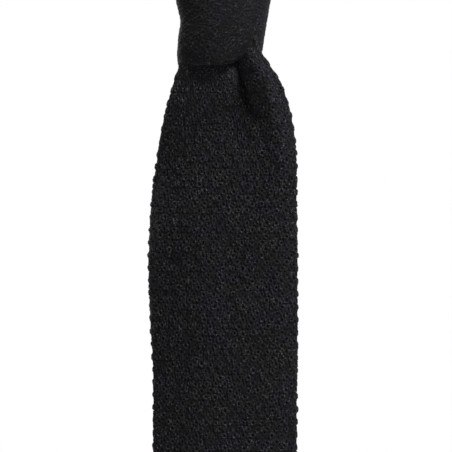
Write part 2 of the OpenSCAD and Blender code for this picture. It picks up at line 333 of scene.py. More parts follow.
def ribbon(name, surface, start, end, width, thick, rings, seed, material, relief=RELIEF,
           pattern=knit_relief, pleat=None, spiral=0.0, fine=1.0, scallop=0.22, crests=(0.0, 1.0)):
    """A closed flat tube of knit. surface(run, across) gives its mid-surface in millimetres, and
    width and thick its size there, each a number or a function of the run. The knit is worked out
    from the run and from the place round the tube alone, so two ribbons that share a surface meet
    without a step. pleat(run, v) is how deep the cloth folds in."""
    n = max(2, int(round((end - start) / COURSE * STEPS_PER_COURSE * fine)))
    run = (start + (end - start) * np.arange(-1, n + 2) / n)[:, None]
    around = 2 * int(round(rings * AROUND_PER_RING * fine / 2))
    v = (np.arange(around) / around)[None, :]
    w, t = size_at(width, run), size_at(thick, run)
    across, out = outline(v, w, t)
    nudge = 0.05
    along = surface(run + nudge, across) - surface(run - nudge, across)
    side = surface(run, across + nudge) - surface(run, across - nudge)
    points = surface(run, across) + unit(np.cross(along, side)) * out[..., None]
    turn = np.roll(points, -1, 1) - np.roll(points, 1, 1)
    normal = unit(np.cross(np.gradient(points, axis=0), turn))
    height = pattern(v * rings + spiral * run, run / COURSE + 0 * v, rings, seed)
    squeeze = np.clip((2 * (w - t) + math.pi * t) / (rings * RING_PITCH), 0, 1)
    raised = (height - 0.45) * relief * squeeze
    edge = np.exp(-(((np.abs(v - np.round(2 * v) / 2)) * (2 * w + t) / 1.6) ** 2))
    raised = raised + scallop * edge * np.cos(math.pi * run / COURSE)
    if pleat is not None:
        raised = raised - pleat(run, v)
    points = (points + normal * raised[..., None])[1:-1]
    faces, uvs = tube_faces(n + 1, around)
    rims = np.concatenate([np.arange(around), n * around + np.arange(around)])
    # crest is the knit's height, spread between crests; the wool's material paints shade in the gaps and
    # highlights on the crests from it.
    crest = crests[0] + (crests[1] - crests[0]) * height[1:-1]
    return mesh_object(name, points, faces, material, uvs, crest, rims)


def thread(name, paths, radius, material, sides=8, twist=2.2):
    """Lengths of two-ply thread along paths, each a list of points, as one piece."""
    points, faces, base = [], [], 0
    for path in paths:
        path = np.asarray(path, float)
        along = unit(np.gradient(path, axis=0))
        up = np.where(np.abs(along[:, 2:]) > 0.9, [[1.0, 0, 0]], [[0, 0, 1.0]])
        a = unit(np.cross(along, up))
        b = np.cross(along, a)
        length = length_along(path)
        angle = 2 * math.pi * np.arange(sides) / sides
        ply = 1 + 0.18 * np.cos(2 * (angle[None, :] - twist * length[:, None]))
        taper = np.sqrt(np.clip(np.minimum(length, length[-1] - length) / radius, 0.05, 1))
        r = radius * ply * taper[:, None]
        ring = path[:, None] + r[..., None] * (
            np.cos(angle)[None, :, None] * a[:, None] + np.sin(angle)[None, :, None] * b[:, None]
        )
        i, j = np.meshgrid(np.arange(len(path) - 1), np.arange(sides), indexing="ij")
        k = (j + 1) % sides
        quads = np.stack([i * sides + j, i * sides + k, (i + 1) * sides + k, (i + 1) * sides + j], -1)
        caps = np.stack([np.arange(sides)[::-1], (len(path) - 1) * sides + np.arange(sides)])
        faces += [base + quads.reshape(-1, 4), base + caps]
        points.append(ring.reshape(-1, 3))
        base += len(points[-1])
    quads = [f for f in faces if f.shape[1] == 4]
    caps = [f for f in faces if f.shape[1] != 4]
    return mesh_object(name, np.concatenate(points), [np.concatenate(quads), np.concatenate(caps)], material)


# ---- materials ----
def shader_for(name):
    material = bpy.data.materials.new(name)
    material.use_nodes = True
    tree = material.node_tree
    return material, tree, tree.nodes["Principled BSDF"]


def node(tree, kind, **settings):
    """A new node with its inputs and settings given by name."""
    made = tree.nodes.new(kind)
    for key, value in settings.items():
        place = key.replace("_", " ")
        if place in made.inputs:
            made.inputs[place].default_value = value
        else:
            setattr(made, key, value)
    return made


# Places of a mix node's colour sockets
MIX_A, MIX_B, MIX_RESULT = 6, 7, 2


def mixed(tree, factor, a, b):
    """A colour between a and b, as far as factor says. factor is another node's output, and a and
    b are each a colour or another node's output."""
    mix = node(tree, "ShaderNodeMix", data_type="RGBA")
    tree.links.new(factor, mix.inputs[0])
    for place, value in ((MIX_A, a), (MIX_B, b)):
        if isinstance(value, bpy.types.NodeSocket):
            tree.links.new(value, mix.inputs[place])
        else:
            mix.inputs[place].default_value = (*value, 1)
    return mix.outputs[MIX_RESULT]


def noise(tree, scale, detail=2.0, roughness=0.5):
    place = node(tree, "ShaderNodeTexCoord")
    made = node(tree, "ShaderNodeTexNoise", Scale=scale, Detail=detail, Roughness=roughness)
    tree.links.new(place.outputs["Object"], made.inputs["Vector"])
    return made.outputs[0]


def stepped(tree, value, low, high, to_low=0.0, to_high=1.0):
    """value's stretch from low to high, spread from to_low to to_high."""
    made = node(tree, "ShaderNodeMapRange", From_Min=low, From_Max=high, To_Min=to_low, To_Max=to_high)
    tree.links.new(value, made.inputs["Value"])
    return made.outputs[0]


def product(tree, a, b):
    made = node(tree, "ShaderNodeMath", operation="MULTIPLY")
    tree.links.new(a, made.inputs[0])
    tree.links.new(b, made.inputs[1])
    return made.outputs[0]


def bumped(tree, shader, height, strength, distance):
    bump = node(tree, "ShaderNodeBump", Strength=strength, Distance=distance)
    tree.links.new(height, bump.inputs["Height"])
    tree.links.new(bump.outputs["Normal"], shader.inputs["Normal"])


def woven(tree, shader, scale, distortion, strength, distance):
    """Raised ribs across a woven ribbon."""
    place = node(tree, "ShaderNodeTexCoord")
    weave = node(tree, "ShaderNodeTexWave", Scale=scale, Distortion=distortion, Detail=1.0)
    weave.bands_direction = "Z"
    tree.links.new(place.outputs["Object"], weave.inputs["Vector"])
    bumped(tree, shader, weave.outputs["Fac"], strength, distance)


def wool_material():
    """Black worsted wool: nearly black with a cool cast, painted shade in the gaps between the yarn, painted
    highlights as bright glints on the yarn's crests, a soft sheen, and fine fibre relief."""
    material, tree, shader = shader_for("wool_knit")
    fibres = noise(tree, 1700.0, 2.0, 0.65)
    crest = node(tree, "ShaderNodeAttribute", attribute_name="crest").outputs["Fac"]
    patches = stepped(tree, noise(tree, 170.0), 0.4, 0.6)
    # The first pair of colours is painted shade: the dark colour down in the gaps between the yarn, where
    # shade falls.
    deep = mixed(tree, patches, (0.0030, 0.0031, 0.0034), (0.0034, 0.0034, 0.0030))
    # The second pair is the yarn's own colour, on its crests.
    crest_colour = mixed(tree, patches, (0.0152, 0.0150, 0.0195), (0.0164, 0.0164, 0.0146))
    # cloth runs from the painted gap shade to the yarn's own colour as the knit's height rises.
    cloth = mixed(tree, stepped(tree, crest, 0.05, 1.0), deep, crest_colour)
    # speckled mixes the painted gap shade in at random, by fine fibre noise.
    speckled = mixed(tree, stepped(tree, fibres, 0.33, 0.62), deep, cloth)
    # The next two lines add painted highlights: bright glints on the yarn's crests where the fibre noise is
    # high.
    painted_glint = product(tree, stepped(tree, fibres, 0.56, 0.74), stepped(tree, crest, 0.2, 1.0))
    colour = mixed(tree, painted_glint, speckled, (0.11, 0.110, 0.120))
    tree.links.new(colour, shader.inputs["Base Color"])
    bumped(tree, shader, fibres, 0.8, 0.0004)
    shader.inputs["Roughness"].default_value = 0.8
    shader.inputs["Specular IOR Level"].default_value = 0.1
    shader.inputs["Sheen Weight"].default_value = 0.05
    shader.inputs["Sheen Roughness"].default_value = 0.4
    return material


def tape_material():
    """Black woven lining tape: fine ribs across it, and a low gloss."""
    material, tree, shader = shader_for("lining_tape")
    colour = mixed(tree, noise(tree, 900.0), (0.009, 0.009, 0.011), (0.022, 0.022, 0.026))
    tree.links.new(colour, shader.inputs["Base Color"])
    woven(tree, shader, 420.0, 0.6, 0.5, 0.0002)
    shader.inputs["Roughness"].default_value = 0.6
    shader.inputs["Specular IOR Level"].default_value = 0.3
    return material


def thread_material():
    """Black sewing thread, a little glossier than the wool."""
    material, tree, shader = shader_for("thread")
    colour = mixed(tree, noise(tree, 1800.0), (0.010, 0.010, 0.012), (0.030, 0.030, 0.034))
    tree.links.new(colour, shader.inputs["Base Color"])
    shader.inputs["Roughness"].default_value = 0.5
    shader.inputs["Specular IOR Level"].default_value = 0.35
    return material


def label_material():
    """Off-white satin ribbon: long glossy floats across it and a faint mottling."""
    material, tree, shader = shader_for("label_cloth")
    colour = mixed(tree, noise(tree, 260.0), (0.70, 0.69, 0.66), (0.80, 0.79, 0.77))
    tree.links.new(colour, shader.inputs["Base Color"])
    woven(tree, shader, 900.0, 1.0, 0.35, 0.00012)
    shader.inputs["Roughness"].default_value = 0.42
    shader.inputs["Specular IOR Level"].default_value = 0.45
    return material


WOOL, TAPE = wool_material(), tape_material()
THREAD, LABEL = thread_material(), label_material()


def finished(piece, slot, *nodes):
    """Hides the CAD nodes that a piece stands for. piece and slot are not used."""
    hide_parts(*nodes)


def on_course(depth):
    """The nearest whole pair of courses to a depth, so that pieces meet between courses."""
    return 2 * COURSE * round(depth / (2 * COURSE))


# ---- the blade ----
# How far the blade reaches to its left and right, against depth below the knot's lower edge
BLADE_LEFT = [
    (-16, 12.5), (-4, 16.5), (0, 18.0), (15, 22.6), (37, 27.2),
    (62, 29.9), (83, 30.4), (115, 29.0), (160, 28.6),
]
BLADE_RIGHT = [(-16, 12.0), (-4, 15.0), (0, 17.4), (8, 22.4), (18, 25.8), (30, 28.0), (60, 28.9), (160, 28.9)]
BLADE_T = 3.2
BLADE_RINGS = 32
BLADE_FLAT = 58.8
BLADE_START = -14      # the blade's start inside the knot, as a depth
# The turned edge at the left: where its ridge runs, against depth
RIDGE = [(14, 20.6), (30, 22.4), (56, 24.7), (85, 26.6), (112, 28.4), (130, 31.0)]
CREASE_DEPTH, CREASE_END = 6.0, 28     # the dimple's crease, and the depth where it has run out
ROLL_HEIGHT, ROLL_END = 3.2, 60        # the roll at its right
TURN_SLOPE = 0.8                       # how steeply the cloth turns back beyond the ridge
LEFT_SLOPE, RIGHT_SLOPE = 0.32, 0.25   # how steeply the blade's two sides lean back
HOLLOW_DEPTH, HOLLOW_GROWTH = 2.1, 0.11  # the hollow at its left, and how fast it deepens downwards
CROWN = 1.6                            # how far the whole blade stands forward of its hanging end
FLAT_FROM, FLAT_BY = 150, 190          # depths between which the blade comes to hang flat
BEND_REACH = 28                        # how far a length across a bend reaches past it


def soft_ramp(x, width):
    """0 below 0 and x above it, with its corner rounded over width."""
    return (x + np.sqrt(x * x + width * width)) / 2


def blade_bulge(x, s):
    """How far the blade stands forward at x, s below the knot. The dimple is a crease that slants
    down to the right, with a roll on its right and a hollow on its left as far as a diagonal fold.
    The left edge is turned back beyond its ridge, and both sides lean back."""
    crease_x = 6.1 + 0.25 * s
    crease = CREASE_DEPTH * fade(s, CREASE_END, 8) * bell(x, crease_x, 3.3 + 0.03 * np.abs(s))
    roll_x = 13.4 + 0.27 * s
    roll = ROLL_HEIGHT * fade(s, ROLL_END, 4) * fade(s, -10, 9) * bell(x, roll_x, 4.4 + 0.07 * np.abs(s))
    beyond = np.maximum(0, -x - through(RIDGE, s))
    turned = TURN_SLOPE * (np.sqrt(beyond**2 + 0.25) - 0.5) * fade(s, 8, 22) * fade(s, FLAT_BY, FLAT_FROM)
    left_back = LEFT_SLOPE * soft_ramp(-x - 10, 5) * fade(s, 12, 50) * fade(s, 188, 160)
    right_back = RIGHT_SLOPE * soft_ramp(x - 22, 3) * fade(s, 188, 160)
    beyond_fold = 0.7 * (s + x - 24)
    beside_crease = fade(x, crease_x + 1, crease_x - 7)
    hollow = (HOLLOW_DEPTH + HOLLOW_GROWTH * np.clip(s, 0, 24)) * fade(beyond_fold, 18, -8) * beside_crease
    crown = CROWN * fade(s, FLAT_BY, FLAT_FROM)
    inside = fade(s, -9, 1)
    wavy = 0.3 * ripple(x, s, 5, 34) + 0.1 * ripple(x, s, 6, 12)
    hung = crown - left_back - right_back - hollow
    return (roll - crease + hung) * inside - turned + wavy * fade(s, -4, 6)


def blade_surface(s, across):
    left, right = through(BLADE_LEFT, s), through(BLADE_RIGHT, s)
    x = (right - left) / 2 + across
    return places(x, BLADE_Y - blade_bulge(x, s), KNOT_LOW - s)


def blade_width(s):
    return through(BLADE_LEFT, s) + through(BLADE_RIGHT, s)


def blade_pleat(s, v):
    """Small gathers, where the blade is drawn in inside the knot."""
    return 0.5 * fade(s, 4, -8) * gathers(v, 8)


def blade_piece(name, start, end, pleat=None):
    return ribbon(name, blade_surface, start, end, blade_width, BLADE_T, BLADE_RINGS, seed=11,
                  material=WOOL, pleat=pleat)


def across_bend(piece, upper, lower, y, z, above=20, below=20):
    """Bakes a piece's place into its mesh, unbent and on no body. upper, lower, y, z, above and below are not
    used."""
    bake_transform(piece)


def build_blade():
    """The blade in eight lengths. Every other one lies across a bend and keeps to no body, and those between
    keep to one body.
    """
    upper, middle, lower = [KNOT_LOW - z for z in BLADE_BENDS]
    between = [44, upper - 24, upper + BEND_REACH, middle - BEND_REACH]
    between += [middle + BEND_REACH, lower - BEND_REACH, lower + BEND_REACH]
    cuts = [BLADE_START, *map(on_course, between), KNOT_LOW - BLADE_HEM]
    rows = [
        ("blade_under_knot", ("knot", "blade_1"), ("blade_throat", "blade_upper")),
        ("blade_first_length", ("blade_1",), ("blade_upper",)),
        ("blade_first_bend", ("blade_1", "blade_2"), ("blade_middle",)),
        ("blade_second_length", ("blade_2",), ("blade_middle",)),
        ("blade_second_bend", ("blade_2", "blade_3"), ("blade_lower",)),
        ("blade_third_length", ("blade_3",), ("blade_lower",)),
        ("blade_third_bend", ("blade_3", "blade_4"), ("blade_end",)),
        ("blade_last_length", ("blade_4",), ("blade_end",)),
    ]
    for (name, bodies, stands_for), start, end in zip(rows, cuts[:-1], cuts[1:]):
        piece = blade_piece(name, start, end, blade_pleat if start < 0 else None)
        finished(piece, "wool_knit", *stands_for)
        if len(bodies) == 1:
            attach(piece, bodies[0])
        elif start < 0:
            across_bend(piece, *bodies, BLADE_Y, KNOT_LOW - 7, 12, 12)
        else:
            across_bend(piece, *bodies, BLADE_Y, BLADE_BENDS[int(bodies[0][-1]) - 1])
        ends = build_blade_hem() if name == "blade_last_length" else []


# ---- hems and their stitches ----
BLADE_HEM_T, TAIL_HEM_T = 3.6, 3.4


def hem_band(name, z_top, z_tip, half_w, y, thick, rings):
    """The rib band that closes a square end, with a rounded lower edge."""
    height = z_top - z_tip

    def surface(run, across):
        return places(across, y + 0 * across, z_top - run)

    def depth(run):
        left = np.clip((height - run) / (thick / 2), 0.02, 1)
        return thick * np.sqrt(1 - (1 - left) ** 2)

    return ribbon(name, surface, 0, height, 2 * half_w, depth, rings, seed=3, material=WOOL,
                  relief=0.5, pattern=rib_relief, fine=1.3)


def hem_stitch_paths(half_w, z, y):
    """Slanted stitches over the hem band's top, on the inner face."""
    pitch, t = 6.0, np.linspace(0, 1, 9)
    count = int(2 * (half_w - 4) // pitch)
    paths = []
    for i in range(count + 1):
        x = (i - count / 2) * pitch
        paths.append(places(x - 1.1 + 2.2 * t, y + 0.55 * np.sin(math.pi * t), z - 1.6 + 3.2 * t))
    return paths


def build_hem(end, body, z_top, z_tip, half_w, y, thick, rings):
    """A square end's hem band and its stitches. end is blade or tail."""
    band = hem_band(end + "_hem_rib", z_top, z_tip, half_w, y, thick, rings)
    finished(band, "wool_knit", end + "_hem")
    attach(band, body)
    stitch_y = y + thick / 2 - 0.05
    paths = hem_stitch_paths(half_w, z_top - 1.8, stitch_y)
    stitches = thread(end + "_hem_thread", paths, radius=0.25, material=THREAD)
    finished(stitches, "thread", end + "_hem_stitches")
    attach(stitches, body)
    return [band, stitches]


def build_blade_hem():
    return build_hem("blade", "blade_4", BLADE_HEM, BLADE_TIP, BLADE_FLAT / 2, BLADE_Y, BLADE_HEM_T,
                     BLADE_RINGS)


def build_tail_hem():
    return build_hem("tail", "tail_3", TAIL_HEM, TAIL_TIP, TAIL_FLAT / 2, TAIL_Y, TAIL_HEM_T, NECK_RINGS)


# ---- the knot's wraps ----
# How far the knot reaches to its left and right, against height
KNOT_LEFT = [(-75, 18.9), (-71, 19.4), (-64, 19.1), (-56, 18.2), (-50, 19.5), (-40, 21.6), (-27, 22.4)]
KNOT_RIGHT = [(-75, 14.8), (-69, 15.6), (-60, 16.9), (-50, 18.6), (-40, 20.3), (-27, 20.8)]
WRAP_T = 3.4
WRAP_RINGS = 24
WRAP_BACK_TOP = -32.3  # the back half's upper edge, lower than the front's
# The wrap's plan: how square it is, and half of its width and depth
PLAN_POWER, PLAN_X, PLAN_Y = 2.4, 17.5, 9.2


def wrap_table():
    """The wrap's plan as a rounded box of half-size 1, as points against length along it."""
    angle = np.linspace(-math.pi, math.pi, 1441)
    c, s = np.sin(angle), -np.cos(angle)
    x = np.sign(c) * np.abs(c) ** (2 / PLAN_POWER)
    y = np.sign(s) * np.abs(s) ** (2 / PLAN_POWER)
    length = summed(np.hypot(np.diff(PLAN_X * x), np.diff(PLAN_Y * y)))
    return length - length[-1] / 2, x, y


WRAP_RUN, WRAP_X, WRAP_YS = wrap_table()
WRAP_LONG = 2 * WRAP_RUN[-1]


def wrap_ends(run):
    """The wrap's plan place and its lower and upper edges, at a run from the middle of its front."""
    run = (run + WRAP_LONG / 2) % WRAP_LONG - WRAP_LONG / 2
    x, y = np.interp(run, WRAP_RUN, WRAP_X), np.interp(run, WRAP_RUN, WRAP_YS)
    low = through([(-1, -75.0), (-0.3, -75.1), (0.3, -74.2), (0.75, -70.2), (1, -69.0)], x)
    high = through([(-1, -29.8), (0, -28.2), (1, -27.2)], x)
    behind = smooth((y + 0.4) / 0.8)
    return x, y, low, high * (1 - behind) + np.minimum(high, WRAP_BACK_TOP) * behind


def wrap_surface(run, across):
    """The wrap's mid-surface. Its top turns in as a lip, its front leans back towards the top, and
    its lower edge tucks under, further on the right."""
    x, y, low, high = wrap_ends(run)
    z = (low + high) / 2 + across
    lip = fade(z, -34, -26.5)
    left, right = through(KNOT_LEFT, z) - 2.0 - 0.8 * lip, through(KNOT_RIGHT, z) - 2.0 - 2.0 * lip
    to_right = fade(x, -0.2, 1)
    under = (0.005 + 0.003 * to_right) * np.maximum(0, -56 + 9 * to_right - z) ** 2
    top = 2.6 * fade(z, -62, -26)
    front = KNOT_FRONT + 1.2 + under + top + 1.6 * lip - 0.3 * ripple(run, z, 8, 22)
    back = KNOT_BACK - 1.9
    return places(
        (right - left) / 2 + x * (right + left) / 2,
        (front + back) / 2 + y * (back - front) / 2,
        z,
    )


def wrap_width(run):
    _, _, low, high = wrap_ends(run)
    return high - low


def build_wraps():
    """The wrap's front and back halves, which meet at the knot's sides."""
    quarter = WRAP_LONG / 4
    for name, start in (("knot_front", -quarter), ("knot_back", quarter)):
        # crests is higher at its low end and lower at its high end on the knot, so the knot's painted gap
        # shade and painted crest highlights are weaker.
        piece = ribbon(name, wrap_surface, start, start + 2 * quarter, wrap_width, WRAP_T, WRAP_RINGS,
                       seed=21, material=WOOL, relief=0.34, pattern=drawn_relief, spiral=-0.02,
                       crests=(0.04, 0.74))
        finished(piece, "wool_knit", name + "_wrap")
        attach(piece, "knot")


def build_cross():
    """The first crossing, inside the knot."""
    y = (CROSS_LOW[1] + CROSS_HIGH[1]) / 2
    low = CROSS_LOW[2] + 0.5
    half_run, half_low, flare = 14, 10.9, 3.4

    def high(run):
        """It swells up on both sides of the pass that presses on it."""
        return CROSS_HIGH[2] - 0.3 + 2.8 * (fade(run, -9, -12) + fade(run, 1, 5))

    def surface(run, across):
        z = (low + high(run)) / 2 + across
        x = -1 + run * (half_low + flare * (z - low) / (CROSS_HIGH[2] - low)) / half_run
        return places(x, y + 0 * z, z)

    def width(run):
        return high(run) - low

    piece = ribbon("knot_cross", surface, -half_run, half_run, width, thick=5.0, rings=20, seed=31,
                   material=WOOL, fine=0.8)
    finished(piece, "wool_knit", "knot_cross_pass")
    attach(piece, "knot")


# ---- the pass that rises behind the knot and goes over its top ----
def path_table(corners, radii, step=0.2):
    """Points along straight runs between corners, with each corner rounded."""
    corners = np.asarray(corners, float)
    points = [corners[0]]
    for before, here, after, radius in zip(corners[:-2], corners[1:-1], corners[2:], radii):
        a = here + unit(before - here) * radius
        b = here + unit(after - here) * radius
        t = np.linspace(0, 1, 24)[:, None]
        points.extend((1 - t) ** 2 * a + 2 * (1 - t) * t * here + t**2 * b)
    points.append(corners[-1])
    points = np.array(points)
    length = length_along(points)
    even = np.arange(0, length[-1], step)
    return even, np.stack([np.interp(even, length, points[:, k]) for k in range(points.shape[1])], -1)


def build_pass():
    """From a tuck under the knot, up its back, over its top and down into it. middle, half and
    thick are the pass's place and size against the length past the tuck."""
    y_back = (RISER_LOW[1] + RISER_HIGH[1]) / 2
    z_top = (SADDLE_LOW[2] + SADDLE_HIGH[2]) / 2
    z_tuck, z_end = KNOT_LOW - 2, -56
    tuck = 6.3
    corners = [(y_back - 3.8, z_tuck), (y_back, z_tuck), (y_back, z_top), (BLADE_Y, z_top), (BLADE_Y, z_end)]
    length, path = path_table(corners, (3.6, 5.5, 5.5))
    middle = [(0, -1.0), (24, -1.0), (39, -4.75), (62, -4.75), (76, -1.0), (90, -1.0)]
    half = [(-6, 10.6), (0, 11.4), (20, 11.0), (38, 4.7), (64, 4.7), (80, 10.0), (90, 11.0)]
    thick = [(0, 3.2), (30, 3.2), (42, 4.4), (62, 4.4), (72, 3.0), (90, 3.0)]

    def surface(run, across):
        y, z = np.interp(run, length, path[:, 0]), np.interp(run, length, path[:, 1])
        return places(through(middle, run - tuck) - across, y, z)

    def width(run):
        return 2 * through(half, run - tuck)

    def depth(run):
        return through(thick, run - tuck)

    def pleat(run, v):
        narrow = fade(through(half, run - tuck), 11, 5)
        return narrow * 1.1 * gathers(v + 0.04, 6)

    piece = ribbon("knot_blade_pass", surface, 0.2, length[-1] - 0.3, width, depth, rings=20, seed=41,
                   material=WOOL, pleat=pleat, fine=0.9)
    finished(piece, "wool_knit", "blade_riser", "blade_saddle")
    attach(piece, "knot")


# ---- the neck loop, its legs and the tail ----
# The neck loop's plan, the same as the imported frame's
LOOP_W, LOOP_D, LOOP_EGG, LOOP_Z, LOOP_RISE = 60, 66, 0.12, 8, 22
BAND_W, BAND_LEAN = 34, math.radians(12)
LEG_ANGLE, LEG_PULL = math.radians(42), 16
TAPE_END = math.radians(60)
NECK_T, NECK_RINGS = 3.4, 20
LOOP_STEPS, LEG_STEPS = 1200, 600
LEFT_LEG_X, LEFT_LEG_W = 14.4, 9       # the left leg where it goes into the knot
LEG_IN_KNOT = 14                       # how far down inside the knot it ends
MOUTH_RISE = 0.5                       # how far above the knot's top the legs come to hang straight
SHANK_X = (SHANK_LOW[0] + SHANK_HIGH[0]) / 2
RIGHT_LEG_FLAT, TAIL_BUNCH_FLAT, TAIL_FLAT = 32, 34, 38
# The tail's width, against depth below the knot's mouth. It stays bunched where the knot can slide
TAIL_WIDE = [(0, 10.5), (66, 10.5), (80, 13.6), (96, 14.2), (110, 16.4), (124, 27), (138, 36), (152, 37.8)]


def loop_point(a):
    """The neck loop's centre line, at angle a from the front."""
    x = LOOP_W * np.sin(a) * (1 - LOOP_EGG * np.cos(a))
    return np.stack([x, -LOOP_D * np.cos(a), LOOP_Z - LOOP_RISE * np.cos(a)], -1)


def loop_frame(a):
    """The loop's run and the band's width direction, leaned in at its top."""
    along = unit(loop_point(a + 0.01) - loop_point(a - 0.01))
    upright = np.array([0, 0, 1.0]) - along[..., 2:] * along
    upright = unit(upright)
    return along, upright * math.cos(BAND_LEAN) + np.cross(upright, along) * math.sin(BAND_LEAN)


def neck_table(end_x, end_z):
    """Centre points and width directions from the centre back, round to the front, down the leg
    to the knot's mouth and on to height end_z, against the length along them."""
    a = np.linspace(math.pi, LEG_ANGLE, LOOP_STEPS)
    centre, (along, up) = loop_point(a), loop_frame(a)
    mouth = np.array([end_x, TAIL_Y, KNOT_HIGH + MOUTH_RISE])
    u = np.linspace(0, 1, LEG_STEPS)[1:, None]
    handles = [centre[-1], centre[-1] - LEG_PULL * along[-1], mouth + [0, 0, LEG_PULL], mouth]
    shares = [(1 - u) ** 3, 3 * (1 - u) ** 2 * u, 3 * (1 - u) * u**2, u**3]
    leg = sum(share * handle for share, handle in zip(shares, handles))
    leg_along = unit(np.gradient(leg, axis=0))
    out = np.cross(up[-1], along[-1]) * (1 - smooth(u)) + np.array([0, 1.0, 0]) * smooth(u)
    leg_up = unit(np.cross(out, leg_along))
    z = np.arange(mouth[2] - 0.2, end_z, -0.2)
    centred = end_x * (1 - fade(z, SHANK_LOW[2] + 6, SHANK_LOW[2] - 14)) - 0.9 * bell(z, -120, 18)
    drop = np.stack([centred, TAIL_Y + 0 * z, z], -1)
    points = np.concatenate([centre, leg, drop])
    ups = np.concatenate([up, leg_up, np.tile(leg_up[-1], (len(drop), 1))])
    return length_along(points), points, ups


def neck_side(side, end_x, end_z):
    """A surface along one side of the neck, with the runs at which it changes."""
    length, points, ups = neck_table(end_x, end_z)
    flip = np.array([side, 1, 1])

    def surface(run, across):
        centre = np.stack([np.interp(run, length, points[:, k]) for k in range(3)], -1)
        up = unit(np.stack([np.interp(run, length, ups[:, k]) for k in range(3)], -1))
        return (centre + across[..., None] * up) * flip

    nearest_tape = np.argmin(np.abs(np.linspace(math.pi, LEG_ANGLE, LOOP_STEPS) - TAPE_END))
    marks = {
        "tape": length[nearest_tape],
        "mouth": length[LOOP_STEPS + LEG_STEPS - 2],
        "end": length[-1],
    }
    return surface, marks


def neck_width(marks, end_w):
    """The band's width, drawn in from the stay tape's end to end_w at the knot's mouth."""
    def width(run):
        share = np.clip((run - marks["tape"]) / (marks["mouth"] - marks["tape"]), 0, 1)
        return BAND_W + (end_w - BAND_W) * (0.45 * smooth(share) + 0.55 * share**2.2)
    return width


def neck_pleat(marks):
    """Pleats that deepen from the stay tape's end to the knot's mouth."""
    def pleat(run, v):
        deep = 1.5 * smooth((run - marks["tape"] + 4) / (marks["mouth"] - marks["tape"]))
        wander = 0.012 * np.sin(run / 11.0)
        return deep * gathers(v + wander, 8)
    return pleat


def leg_thick(marks, run):
    """The leg is fuller where it bunches up above the knot's mouth."""
    return NECK_T + 1.6 * bell(run, marks["mouth"] - 14, 18)


def build_neck_left():
    surface, marks = neck_side(-1, LEFT_LEG_X, KNOT_HIGH - LEG_IN_KNOT)
    width = neck_width(marks, LEFT_LEG_W)
    cut = on_course(marks["tape"])

    def thick(run):
        return leg_thick(marks, run)

    band = ribbon("neckband_left_knit", surface, 0.1, cut, width, thick, NECK_RINGS, seed=51, material=WOOL)
    finished(band, "wool_knit", "neckband_left")
    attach(band, "neck_loop")
    leg = ribbon("neck_leg_left_knit", surface, cut, marks["end"] - 1, width, thick, NECK_RINGS, seed=51,
                 material=WOOL, pleat=neck_pleat(marks))
    finished(leg, "wool_knit", "neck_leg_left")
    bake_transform(leg)


def tail_width(marks):
    to_neck = neck_width(marks, SHANK_HIGH[0] - SHANK_LOW[0])

    def width(run):
        below = run - marks["mouth"]
        return np.where(below < 0, to_neck(run), through(TAIL_WIDE, below)) + 2 * mouth_swell(below)
    return width


def mouth_swell(below):
    """How far the right leg stands out to its right, just above where it goes into the knot."""
    return 1.2 * bell(below, -4, 9)


def build_neck_right_and_tail():
    """The right side is one run of cloth, from the centre back through the knot to the tail's end."""
    centred, marks = neck_side(1, SHANK_X, TAIL_HEM - 1)
    width = tail_width(marks)
    mouth = marks["mouth"]

    def surface(run, across):
        return centred(run, across - mouth_swell(run - mouth))

    def thick(run):
        in_knot = fade(run, mouth - 4, mouth + 4) * fade(run, mouth + 76, mouth + 60)
        return leg_thick(marks, run) + 0.8 * in_knot

    pleat_in = neck_pleat(marks)

    def pleat(run, v):
        return pleat_in(run, v) * fade(run, mouth + 130, mouth + 66)

    def run_at(z):
        return mouth + KNOT_HIGH + MOUTH_RISE - z

    def length_of(name, start, end, pleat=None):
        return ribbon(name, surface, start, end, width, thick, NECK_RINGS, seed=52, material=WOOL,
                      pleat=pleat)

    cut = on_course(marks["tape"])
    band = length_of("neckband_right_knit", 0.1, cut)
    finished(band, "wool_knit", "neckband_right")
    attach(band, "neck_loop")
    shank_end = run_at(SHANK_LOW[2])
    leg = length_of("neck_leg_right_knit", cut, shank_end, pleat)
    finished(leg, "wool_knit", "neck_leg_right", "tail_shank")
    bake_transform(leg)
    middle = run_at((TAIL_BENDS[0] + TAIL_BENDS[1]) / 2)
    first = length_of("tail_first_bend", shank_end, middle, pleat)
    finished(first, "wool_knit", "tail_upper")
    across_bend(first, "tail_1", "tail_2", TAIL_Y, TAIL_BENDS[0], 5, 35)
    second = length_of("tail_second_bend", middle, run_at(TAIL_HEM))
    finished(second, "wool_knit", "tail_middle", "tail_end")
    across_bend(second, "tail_2", "tail_3", TAIL_Y, TAIL_BENDS[1], 4, 36)
    build_tail_hem()


def build_seam():
    """Overcast stitches over the join of the neckband's halves at the centre back."""
    at_back = np.array(math.pi)
    centre, (along, up) = loop_point(at_back), loop_frame(at_back)
    out = np.cross(along, up)
    half_long, half_deep, slant = 1.7, 2.15, 0.5
    paths = []
    for place in np.linspace(-14.9, 14.9, 17):
        ring = [
            centre + up * (place + slant * math.sin(k)) + along * half_long * math.cos(k)
            + out * half_deep * math.copysign(abs(math.sin(k)) ** 0.5, math.sin(k))
            for k in np.linspace(0, 2 * math.pi, 17)
        ]
        paths.append(ring)
    piece = thread("centre_back_seam_thread", paths, radius=0.42, material=THREAD)
    finished(piece, "thread", "centre_back_seam")
    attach(piece, "neck_loop")


# ---- the keeper and its tacks ----
KEEPER_LOW, KEEPER_HIGH = box_mm("keeper_loop")
KEEPER_Z = (KEEPER_LOW[2] + KEEPER_HIGH[2]) / 2
KEEPER_W = KEEPER_HIGH[2] - KEEPER_LOW[2]


